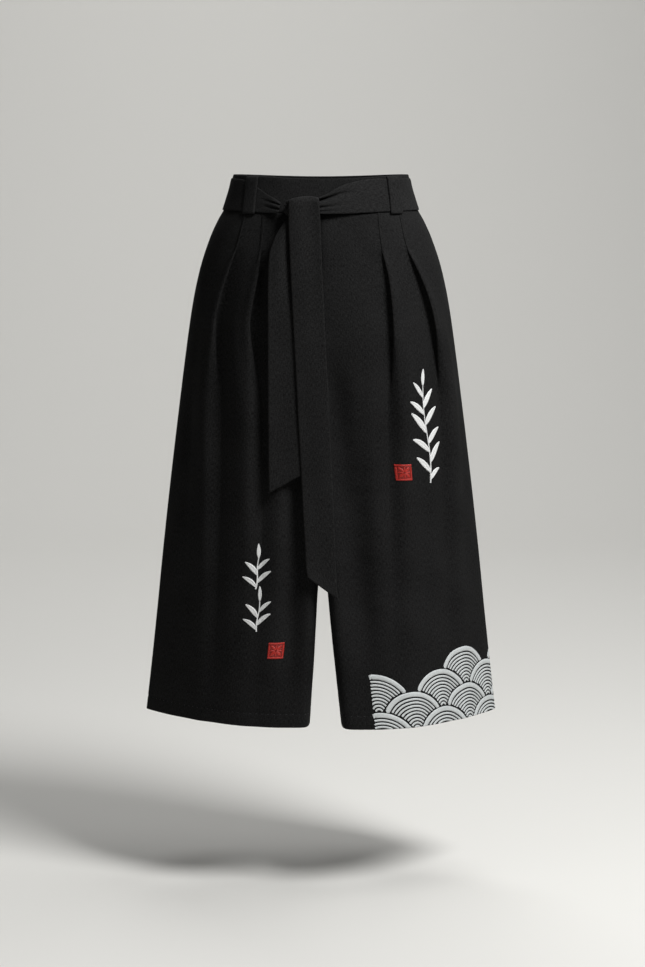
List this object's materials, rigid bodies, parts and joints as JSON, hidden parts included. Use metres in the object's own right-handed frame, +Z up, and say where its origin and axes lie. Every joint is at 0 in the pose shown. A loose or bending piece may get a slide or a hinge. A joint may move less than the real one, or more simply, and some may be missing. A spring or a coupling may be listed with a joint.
{
  "type": "wide cropped trousers with a tie sash",
  "caption": "Wide black cropped trousers with pleated fronts, belt loops and a tied cloth sash, filled out with no wearer and held at the waist.",
  "frame": {"origin": "the middle of the waist, at half the waistband's height", "axes": "+Z up, +X to the wearer's left, the front faces -Y"},
  "size_m": [0.5182, 0.2904, 0.7871],
  "materials": {
    "panel_cloth": "black plain weave, nearly matt, with white and red embroidery and a white wave border on the left hem",
    "band_cloth": "black plain weave, interfaced and pressed flat",
    "loop_cloth": "black plain weave, folded into a flat strip",
    "sash_cloth": "black plain weave, two layers, soft"
  },
  "bodies": {
    "root": {"front_right": "panel_cloth", "front_left": "panel_cloth", "back_right": "panel_cloth", "back_left": "panel_cloth", "waistband": "band_cloth", "loop_front_right": "loop_cloth", "loop_front_left": "loop_cloth", "loop_back_right": "loop_cloth", "loop_back_left": "loop_cloth", "sash_wrap": "sash_cloth", "sash_knot": "sash_cloth", "sash_long_end": "sash_cloth", "sash_short_end": "sash_cloth"}
  },
  "joints": []
}
